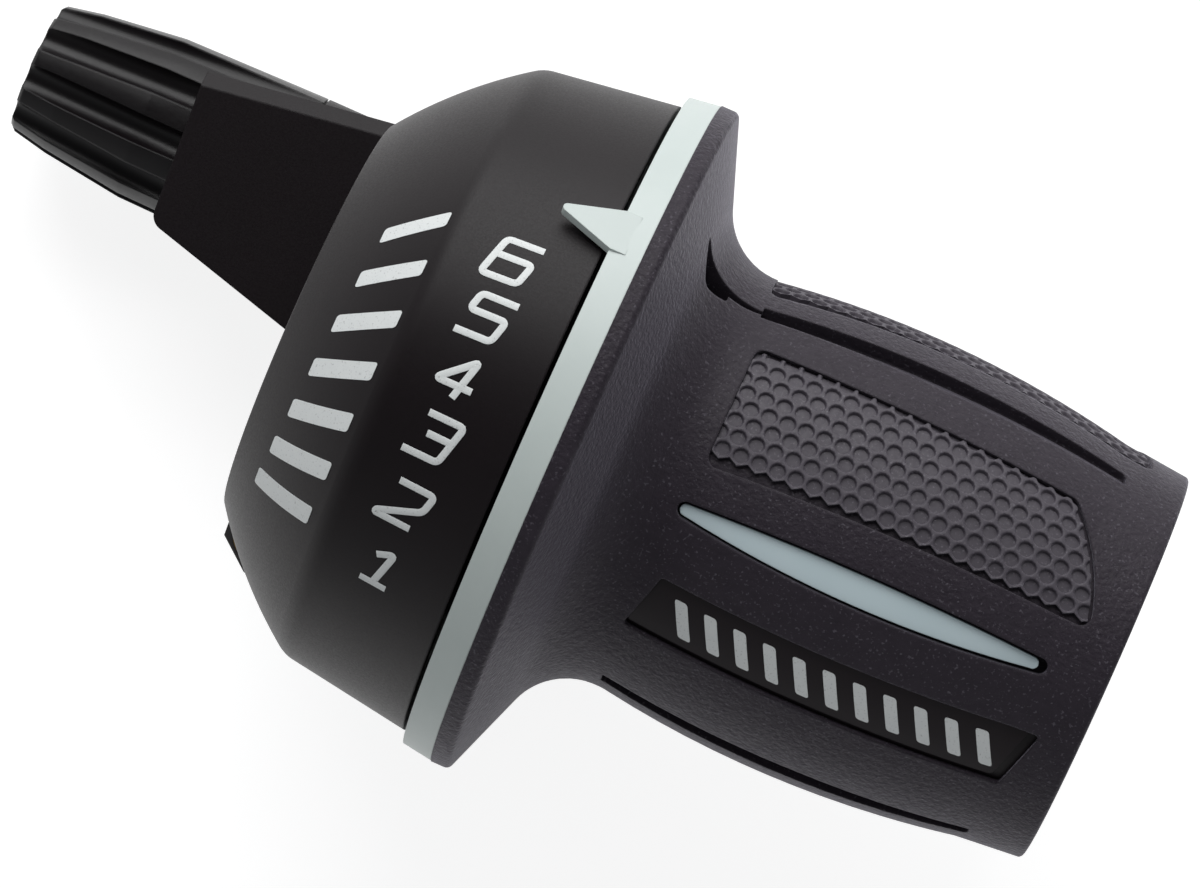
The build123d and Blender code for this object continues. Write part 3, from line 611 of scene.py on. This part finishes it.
@dataclass(frozen=True)
class DimplePanel:
    """A field of dimples in a recess of the rubber. Lengths in millimetres, angles in degrees.

    Edges that turn by more than the crease stay sharp.
    """

    name: str
    turn: float
    half_turn: float
    start: float = 32.8
    end: float = 59.3
    slant: float = 4.7
    bulge: float = 0.8
    taper: float = 0.86
    gap: float = 0.3
    start_gap: float = 0.04
    sink: float = 0.08
    skirt: float = 0.4
    end_cuts: int = 5
    crease: float = 50.0

    def build(self, cell: DimpleCell, radius: Callable[[float], float], crown: float) -> bpy.types.Object:
        """Lay cells over the panel, trim them to its outline and wrap them on the grip.

        Args:
            cell: The cell that repeats.
            radius: Radius of the rubber at a place along the bar.
            crown: Largest radius of the rubber.

        Returns:
            The finished panel.
        """
        panel = cell.build(self.name)
        chord = crown * math.sin(math.radians(self.half_turn))
        half = crown * math.asin(chord / radius(self.start))
        half_out = crown * math.asin(chord * self.taper / radius(self.end + self.slant / 2))
        self.repeat(panel, cell, half + half_out)
        with editing(panel):
            bpy.ops.mesh.select_all(action="SELECT")
            low = self.gap - half_out + cell.pitch / math.sqrt(3)
            bpy.ops.transform.translate(value=(self.start - cell.pitch / 2, low, 0))
            for place, normal in self.cuts(half, half_out):
                bpy.ops.mesh.select_all(action="SELECT")
                outward = Vector((*normal, 0)).normalized()
                bpy.ops.mesh.bisect(plane_co=(*place, 0), plane_no=outward, clear_outer=True)
            bpy.ops.mesh.select_all(action="DESELECT")
            bpy.ops.mesh.select_mode(type="EDGE")
            bpy.ops.mesh.select_non_manifold(
                extend=False, use_wire=False, use_boundary=True, use_multi_face=False,
                use_non_contiguous=False, use_verts=False,
            )
            bpy.ops.mesh.extrude_edges_move(TRANSFORM_OT_translate={"value": (0, 0, -self.skirt)})
            bpy.ops.mesh.select_mode(type="VERT")
            bpy.ops.mesh.select_all(action="SELECT")
            bpy.ops.transform.translate(value=(0, 0, -self.sink))
        wrap(panel, radius, self.turn, crown)
        smooth(panel, self.crease)
        return panel

    def repeat(self, panel: bpy.types.Object, cell: DimpleCell, width: float) -> None:
        """Repeat the cell along and round the grip until it covers the panel.

        Args:
            panel: Object that holds one cell.
            cell: The cell that repeats.
            width: Width that the rows have to cover.
        """
        length = self.end + self.slant + self.bulge - self.start
        for name, step, count in (
            ("pair", (cell.pitch / 2, cell.row, 0), 2),
            ("along", (cell.pitch, 0, 0), math.ceil(length / cell.pitch) + 2),
            ("round", (0, 2 * cell.row, 0), math.ceil(width / (2 * cell.row)) + 1),
        ):
            rows = panel.modifiers.new(name, "ARRAY")
            rows.use_relative_offset = False
            rows.use_constant_offset = True
            rows.constant_offset_displace = step
            rows.count = count
            rows.use_merge_vertices = True
            rows.merge_threshold = cell.pitch * cell.merge_share
        apply_modifiers(panel)

    def cuts(self, half: float, half_out: float) -> list[tuple[Point, Point]]:
        """Planes that trim the cells to the outline; the last whole row makes the near side.

        Args:
            half: Half the width round the grip at the start.
            half_out: Half the width round the grip at the end.

        Returns:
            A point and an outward normal for each cut.
        """
        run = self.end - self.start
        planes = [
            ((self.start, half - self.gap), (half - half_out, run)),
            ((self.start + self.start_gap, 0), (-1, 0)),
        ]
        bow = ArcProfile(
            (-half_out, self.end + self.slant),
            (0, self.end + self.slant / 2 + self.bulge),
            (half_out, self.end),
        )
        for i in range(self.end_cuts):
            near, far = (half_out * (2 * (i + k) / self.end_cuts - 1) for k in (0, 1))
            lean = bow.radius(near) - bow.radius(far)
            planes.append(((bow.radius(near) - self.gap, near), (far - near, lean)))
        return planes


@dataclass(frozen=True)
class Slab:
    """A thin slab with round corners that leans over and lies round the bar, in millimetres.

    The size is along and round the bar. The lean is how far a point moves, the way that the slab
    leans, for each millimetre it lies from the middle the other way. Edges that turn by more than
    the crease, in degrees, stay sharp.
    """

    name: str
    size: Point
    thick: float
    corner: float
    lean: float
    way: Lean = Lean.ALONG
    step: float = 0.5
    crease: float = 40.0

    def build(self, radius: Callable[[float], float], place: Point, turn: float) -> bpy.types.Object:
        """Model the slab flat, lean it over and wrap it on a surface.

        Args:
            radius: Radius of the surface at a place along the bar.
            place: Middle of the slab along the bar, and round it from the turn.
            turn: Angle round the bar, in degrees from the front.

        Returns:
            The finished slab.
        """
        length, width = self.size
        bpy.ops.object.select_all(action="DESELECT")
        bpy.ops.mesh.primitive_plane_add(size=1)
        slab = bpy.context.object
        slab.name = self.name
        with editing(slab):
            bpy.ops.mesh.select_all(action="SELECT")
            bpy.ops.transform.resize(value=(length, width, 1), center_override=(0, 0, 0))
            bpy.ops.mesh.bevel(offset=self.corner, segments=3, affect="VERTICES")
            bpy.ops.mesh.select_all(action="SELECT")
            bpy.ops.mesh.extrude_region_move(TRANSFORM_OT_translate={"value": (0, 0, self.thick)})
            for side, normal in ((length, Vector((1, 0, 0))), (width, Vector((0, 1, 0)))):
                cuts = math.ceil(side / self.step)
                for i in range(1, cuts):
                    bpy.ops.mesh.select_all(action="SELECT")
                    bpy.ops.mesh.bisect(plane_co=normal * side * (i / cuts - 0.5), plane_no=normal)
            bpy.ops.mesh.select_all(action="SELECT")
            bpy.ops.mesh.normals_make_consistent(inside=False)
        for vertex in slab.data.vertices:
            x, y, _ = vertex.co
            along, across = (self.lean * y, 0.0) if self.way is Lean.ALONG else (0.0, self.lean * x)
            vertex.co.x = x + place[0] + along
            vertex.co.y = y + place[1] + across
        wrap(slab, radius, turn)
        smooth(slab, self.crease)
        return slab


@dataclass(frozen=True)
class BarRow:
    """A row of slanted printed bars. Lengths in millimetres, angles in degrees.

    A place is a length along the bar and an angle round it; a size is along and round the bar.
    """

    name: str
    count: int
    first: Point
    last: Point
    size: Point
    grow: float
    slant: float
    way: Lean
    ink: float = 0.03
    corner: float = 0.22

    def build(self, radius: Callable[[float], float]) -> list[bpy.types.Object]:
        """Print the row on a surface, each bar larger than the one before.

        Args:
            radius: Radius of the surface at a place along the bar.

        Returns:
            The finished bars.
        """
        return [self.build_bar(i, radius) for i in range(self.count)]

    def build_bar(self, number: int, radius: Callable[[float], float]) -> bpy.types.Object:
        """Print one bar of the row.

        Args:
            number: Number of the bar, from zero.
            radius: Radius of the surface at a place along the bar.

        Returns:
            The finished bar.
        """
        share = number / (self.count - 1)
        place, turn = (a + share * (b - a) for a, b in zip(self.first, self.last))
        length, width = (side * (1 + share * (self.grow - 1)) for side in self.size)
        lean = math.tan(math.radians(self.slant))
        bar = Slab(f"{self.name}_{number + 1}", (length, width), self.ink, self.corner, lean, self.way)
        return bar.build(radius, (place, 0.0), turn)


@dataclass
class Grip:
    """Rubber grip with its core, ring and inlay. Lengths in millimetres, turns in degrees.

    The plate lies in the plain recess, shifted along and round the bar, so that a gap is left on two
    sides, and a dark sheet under it is painted shade in that gap. The lens shrinks toward its inboard tip
    and the bar's axis, which sets it deeper.
    """

    finishes: dict[str, bpy.types.Material]
    crown: ArcProfile = ArcProfile((28.1, 16.35), (44.1, 18.02), (61.5, 16.42))
    nose: LineProfile = LineProfile((61.5, 16.42), (66.9, 15.9))
    badge_turn: float = 123.9
    badge_depth: float = 0.5
    badge_middle: float = 47.9
    # Dark sheet on the floor of the plain recess: painted shade in the gap round the plate
    badge_painted_shade: Slab = Slab("badge_painted_shade", (30.54, 5.34), thick=0.03, corner=0.35, lean=0.26)
    badge_plate: Slab = Slab("badge_plate", (29.75, 4.85), thick=0.2, corner=0.3, lean=0.26)
    plate_shift: Point = (-0.38, 0.22)
    inlay_start: float = 32.45
    inlay_shrink: Place = (0.983, 0.986, 0.986)
    bars: BarRow = BarRow(
        "badge_bar", count=11, first=(36.0, 123.9), last=(60.4, 123.9), size=(1.05, 3.0), grow=1.0,
        slant=-24.0, way=Lean.ALONG,
    )
    cell: DimpleCell = DimpleCell()
    panels: tuple[DimplePanel, ...] = (
        DimplePanel("dimple_panel_top", turn=66.2, half_turn=17.0),
        DimplePanel("dimple_panel_front", turn=-4.4, half_turn=26.9, start=31.9),
        DimplePanel("dimple_panel_back", turn=203.3, half_turn=26.9, start=31.9),
        DimplePanel("dimple_panel_under", turn=278.0, half_turn=26.9, start=31.9),
    )

    def radius(self, x: float) -> float:
        """Radius of the rubber at a place along the bar."""
        return self.crown.radius(x) if x < self.crown.last[0] else self.nose.radius(x)

    def build(self, nodes: dict[str, bpy.types.Object]) -> None:
        """Model the dimpled panels, the plate in the plain recess and the lens.

        Args:
            nodes: The frame's own pieces, by name.
        """
        for panel in self.panels:
            piece = panel.build(self.cell, self.radius, self.crown.middle[1])
            settle(piece, Body.GRIP, self.finishes["dimple"])
        self.build_badge()
        self.build_inlay(nodes)

    def build_badge(self) -> None:
        """Set a plate in the plain recess over a dark sheet, painted shade in the gap behind and outboard,
        and print it.
        """
        along, across = self.plate_shift
        for slab, place, finish in (
            # The sheet under the plate takes the darkest finish as painted shade
            (self.badge_painted_shade, (self.badge_middle, 0.0), "housing"),
            (self.badge_plate, (self.badge_middle + along, across), "plate"),
        ):
            piece = slab.build(lambda x: self.radius(x) - self.badge_depth, place, self.badge_turn)
            settle(piece, Body.GRIP, self.finishes[finish])
        top = self.badge_depth - self.badge_plate.thick
        for bar in self.bars.build(lambda x: self.radius(x) - top):
            settle(bar, Body.GRIP, self.finishes["ink"])

    def build_inlay(self, nodes: dict[str, bpy.types.Object]) -> None:
        """Set the pale lens deeper in the rubber than its solid, with room at its outboard tip.

        Args:
            nodes: The frame's own pieces, by name.
        """
        lens = bpy.data.objects.new("inlay_lens", nodes["grip_inlay"].data.copy())
        bpy.context.scene.collection.objects.link(lens)
        with editing(lens):
            bpy.ops.mesh.select_all(action="SELECT")
            bpy.ops.transform.resize(
                value=self.inlay_shrink, center_override=(self.inlay_start * MM, 0, 0)
            )
        settle(lens, Body.GRIP, self.finishes["inlay"])
        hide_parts("grip_inlay")

    def dress(self, nodes: dict[str, bpy.types.Object]) -> None:
        """Give the frame's own grip pieces their finishes.

        Args:
            nodes: The frame's own pieces, by name.
        """
        dress(nodes["grip_sleeve"], self.finishes["rubber"])
        dress(nodes["indicator_ring"], self.finishes["ring"])
        dress(nodes["grip_core"], self.finishes["acetal"])


@dataclass(frozen=True)
class Numeral:
    """A gear number drawn with strokes on a unit square, and its angle from the top in degrees."""

    name: str
    from_top: float
    strokes: tuple[tuple[Point, ...], ...]


NUMERALS = (
    Numeral("6", -22.4, (((1, 1), (0, 1), (0, 0), (1, 0), (1, 0.56), (0.08, 0.56)),)),
    Numeral("5", -11.6, (((1, 1), (0, 1), (0, 0.56), (1, 0.56), (1, 0), (0, 0)),)),
    Numeral("4", -0.6, (((0.68, 0), (0.68, 1), (0, 0.3), (1, 0.3)),)),
    Numeral("3", 10.3, (((0, 1), (1, 1), (1, 0), (0, 0)), ((0.3, 0.54), (0.95, 0.54)))),
    Numeral("2", 23.0, (((0, 1), (1, 1), (1, 0.52), (0, 0.08), (0, 0), (1, 0)),)),
    Numeral("1", 36.1, (((0.22, 0.8), (0.62, 1), (0.62, 0)), ((0.25, 0), (1, 0)))),
)


@dataclass(frozen=True)
class NumberBand:
    """Gear numbers printed on the housing's band. Lengths in millimetres, angles in degrees.

    Points nearer together than the closest are left out, and edges that turn by more than the
    crease stay sharp.
    """

    place: float = 13.95
    width: float = 2.9
    height: float = 3.2
    stroke: float = 0.56
    ink: float = 0.025
    slant: float = 15.0
    corner: float = 0.42
    corner_steps: int = 5
    step: float = 0.3
    closest: float = 1e-4
    crease: float = 60.0
    band: LineProfile = LineProfile((9.0, 24.65), (19.7, 26.2))

    def route(self, points: tuple[Point, ...]) -> list[Vector]:
        """Turn a stroke on the unit square into a slanted line with round corners.

        Args:
            points: Corners of the stroke.

        Returns:
            Points along the stroke in millimetres, close enough together to bend.
        """
        lean = math.tan(math.radians(self.slant))
        corners = [
            Vector(((u - 0.5) * self.width + lean * (v - 0.5) * self.height, (v - 0.5) * self.height, 0))
            for u, v in points
        ]
        line = [corners[0]]
        for before, corner, after in zip(corners, corners[1:], corners[2:]):
            reach = min(self.corner, (before - corner).length / 2, (after - corner).length / 2)
            near = corner + (before - corner).normalized() * reach
            far = corner + (after - corner).normalized() * reach
            for i in range(self.corner_steps + 1):
                t = i / self.corner_steps
                line.append(near * (1 - t) ** 2 + corner * 2 * t * (1 - t) + far * t * t)
        line.append(corners[-1])
        spaced = [line[0]]
        for start, end in zip(line, line[1:]):
            count = max(1, math.ceil((end - start).length / self.step))
            spaced += [start.lerp(end, (i + 1) / count) for i in range(count)]
        return [p for i, p in enumerate(spaced) if i == 0 or (p - spaced[i - 1]).length > self.closest]

    def build(self, numeral: Numeral) -> bpy.types.Object:
        """Print one number on the band.

        Args:
            numeral: The number to print.

        Returns:
            The finished print, a low ridge of ink.
        """
        curve = bpy.data.curves.new(f"numeral_{numeral.name}", "CURVE")
        curve.dimensions = "3D"
        curve.twist_mode = "Z_UP"
        curve.bevel_depth = self.stroke / 2
        curve.bevel_resolution = 2
        curve.use_fill_caps = True
        for stroke in numeral.strokes:
            points = self.route(stroke)
            spline = curve.splines.new("POLY")
            spline.points.add(len(points) - 1)
            for target, point in zip(spline.points, points):
                target.co = (*point, 1)
        piece = bpy.data.objects.new(curve.name, curve)
        bpy.context.scene.collection.objects.link(piece)
        bpy.ops.object.select_all(action="DESELECT")
        piece.select_set(True)
        bpy.context.view_layer.objects.active = piece
        bpy.ops.object.convert(target="MESH")
        piece = bpy.context.object
        flat = self.ink / (self.stroke / 2)
        with editing(piece):
            bpy.ops.mesh.select_all(action="SELECT")
            bpy.ops.transform.resize(value=(1, 1, flat), center_override=(0, 0, 0))
            bpy.ops.transform.translate(value=(self.place, 0, self.ink))
        wrap(piece, self.band.radius, 90 + numeral.from_top)
        smooth(piece, self.crease)
        return piece


@dataclass
class Housing:
    """Housing with its numbered band and its fixed inner pieces."""

    finishes: dict[str, bpy.types.Material]
    numbers: NumberBand = NumberBand()
    bevel: ArcProfile = ArcProfile((0.0, 15.9), (4.5, 21.025), (9.0, 24.65))
    bars: BarRow = BarRow(
        "bevel_bar", count=7, first=(6.2, 66.0), last=(5.0, 128.0), size=(4.2, 1.3), grow=1.25,
        slant=24.0, way=Lean.ROUND,
    )

    def build(self) -> None:
        """Print the numbers on the band and the bars on the bevel."""
        for numeral in NUMERALS:
            settle(self.numbers.build(numeral), Body.HOUSING, self.finishes["ink"])
        for bar in self.bars.build(self.bevel.radius):
            settle(bar, Body.HOUSING, self.finishes["ink"])

    def dress(self, nodes: dict[str, bpy.types.Object]) -> None:
        """Give the frame's own housing pieces their finishes.

        Args:
            nodes: The frame's own pieces, by name.
        """
        for name, finish in (
            ("housing", "housing"),
            ("retainer_ring", "acetal"),
            ("retainer_screws", "zinc_steel"),
            ("thrust_washer", "acetal"),
            ("detent_spring", "spring_steel"),
            ("cable_guide", "acetal"),
            ("clamp_screw", "black_steel"),
            ("clamp_insert", "brass"),
        ):
            dress(nodes[name], self.finishes[finish])


@dataclass
class Adjuster:
    """Barrel adjuster with its spring and washer."""

    finishes: dict[str, bpy.types.Material]

    def dress(self, nodes: dict[str, bpy.types.Object]) -> None:
        """Give the frame's own adjuster pieces their finishes.

        Args:
            nodes: The frame's own pieces, by name.
        """
        dress(nodes["barrel_adjuster"], self.finishes["knob"])
        dress(nodes["adjuster_spring"], self.finishes["spring_steel"])
        dress(nodes["adjuster_washer"], self.finishes["zinc_steel"])


@dataclass(frozen=True)
class Softbox:
    """A square softbox, in metres, aimed at the part."""

    name: str
    place: Place
    size: float
    watts: float

    def build(self, aim: Vector) -> None:
        """Hang the softbox and turn it to the part.

        Args:
            aim: Point that the softbox faces.
        """
        light = bpy.data.lights.new(self.name, "AREA")
        light.size = self.size
        light.energy = self.watts
        lamp = bpy.data.objects.new(self.name, light)
        lamp.location = self.place
        lamp.rotation_euler = (aim - lamp.location).to_track_quat("-Z", "Y").to_euler()
        bpy.context.scene.collection.objects.link(lamp)


@dataclass
class Studio:
    """Pale floor, soft light and the camera at the photograph's angle. Lengths in metres."""

    aim: Vector = field(default_factory=lambda: Vector((0.0245, 0.0, 0.0)))
    eye: Vector = field(default_factory=lambda: Vector((0.0423, 0.0, 0.528)))
    right: Vector = field(default_factory=lambda: Vector((0.914, 0.4057, 0.0)))
    focal_pixels: float = 6868.0
    image_width: float = 1200.0
    sensor: float = 36.0
    clip_start: float = 0.01
    floor_gap: float = 0.0003
    floor_size: float = 6.0
    paper: str = "#b4b4b4"
    floor_glow: float = 0.82
    air: str = "#f4f6f8"
    wall_level: float = 0.65
    wall_top: float = 0.2
    roof_level: float = 0.1
    roof_edge: float = 0.95
    lamps: tuple[Softbox, ...] = (
        Softbox("key_softbox", (-0.2, 0.66, 0.42), 0.8, 7.0),
    )

    def build(self) -> None:
        """Build the whole studio."""
        self.build_camera()
        self.build_floor()
        self.build_world()
        for lamp in self.lamps:
            lamp.build(self.aim)
        bpy.context.scene.view_settings.view_transform = "Standard"

    def build_camera(self) -> None:
        """Place the camera where the photograph was taken."""
        camera = bpy.data.cameras.new("camera")
        camera.sensor_width = self.sensor
        camera.lens = self.focal_pixels * self.sensor / self.image_width
        camera.clip_start = self.clip_start
        back = (self.eye - self.aim).normalized()
        right = (self.right - back * self.right.dot(back)).normalized()
        up = back.cross(right)
        holder = bpy.data.objects.new("camera", camera)
        turn = Matrix((right, up, back)).transposed().to_4x4()
        holder.matrix_world = Matrix.Translation(self.eye) @ turn
        bpy.context.scene.collection.objects.link(holder)
        bpy.context.scene.camera = holder

    def build_floor(self) -> None:
        """Lay the white floor just under the part."""
        bpy.ops.object.select_all(action="DESELECT")
        level = CAD_BOX[0].z - self.floor_gap
        bpy.ops.mesh.primitive_plane_add(size=self.floor_size, location=(self.aim.x, self.aim.y, level))
        floor = bpy.context.object
        floor.name = "floor"
        material, tree = blank_material("white_paper_floor")
        seen = self.seen_directly(tree)
        paper = add_node(tree, "ShaderNodeBsdfDiffuse", {"Color": linear(self.paper)})
        glow = add_node(tree, "ShaderNodeEmission", {"Color": linear("#ffffff")}, {"Strength": seen})
        both = add_node(
            tree, "ShaderNodeAddShader", links={0: paper.outputs["BSDF"], 1: glow.outputs["Emission"]}
        )
        add_node(tree, "ShaderNodeOutputMaterial", links={"Surface": both.outputs["Shader"]})
        dress(floor, material)

    def seen_directly(self, tree: bpy.types.NodeTree) -> bpy.types.NodeSocket:
        """Glow of the floor where the camera, a reflection or a clear piece shows it.

        Args:
            tree: Node tree of the floor's material.

        Returns:
            Socket with the strength of the glow.
        """
        path = add_node(tree, "ShaderNodeLightPath")
        mirrored = add_node(
            tree,
            "ShaderNodeMath",
            links={0: path.outputs["Is Camera Ray"], 1: path.outputs["Is Glossy Ray"]},
            operation="MAXIMUM",
        )
        shown = add_node(
            tree,
            "ShaderNodeMath",
            links={0: mirrored.outputs[0], 1: path.outputs["Is Transmission Ray"]},
            operation="MAXIMUM",
        )
        strength = add_node(
            tree, "ShaderNodeMath", {1: self.floor_glow}, {0: shown.outputs[0]}, operation="MULTIPLY"
        )
        return strength.outputs[0]

    def build_world(self) -> None:
        """Fill the room with soft light from its walls, and less from overhead."""
        world = bpy.data.worlds.new("studio")
        world.use_nodes = True
        tree = world.node_tree
        tree.nodes.clear()
        toward = add_node(tree, "ShaderNodeTexCoord").outputs["Generated"]
        height = add_node(tree, "ShaderNodeSeparateXYZ", links={"Vector": toward})
        level = add_node(
            tree,
            "ShaderNodeMapRange",
            {
                "From Min": self.wall_top,
                "From Max": self.roof_edge,
                "To Min": self.wall_level,
                "To Max": self.roof_level,
            },
            {"Value": height.outputs["Z"]},
        )
        sky = add_node(
            tree, "ShaderNodeBackground", {"Color": linear(self.air)}, {"Strength": level.outputs["Result"]}
        )
        add_node(tree, "ShaderNodeOutputWorld", links={"Surface": sky.outputs["Background"]})
        bpy.context.scene.world = world


def main() -> None:
    """Build the studio and dress the part, piece by piece."""
    logging.basicConfig(level=logging.INFO, format="%(name)s: %(message)s")
    nodes = frame["nodes"]
    palette = FinishSet()
    finishes = {each.name: getattr(palette, each.name).build() for each in fields(palette)}
    Studio().build()
    grip = Grip(finishes)
    grip.build(nodes)
    grip.dress(nodes)
    housing = Housing(finishes)
    housing.build()
    housing.dress(nodes)
    Adjuster(finishes).dress(nodes)


if __name__ == "__main__":
    main()
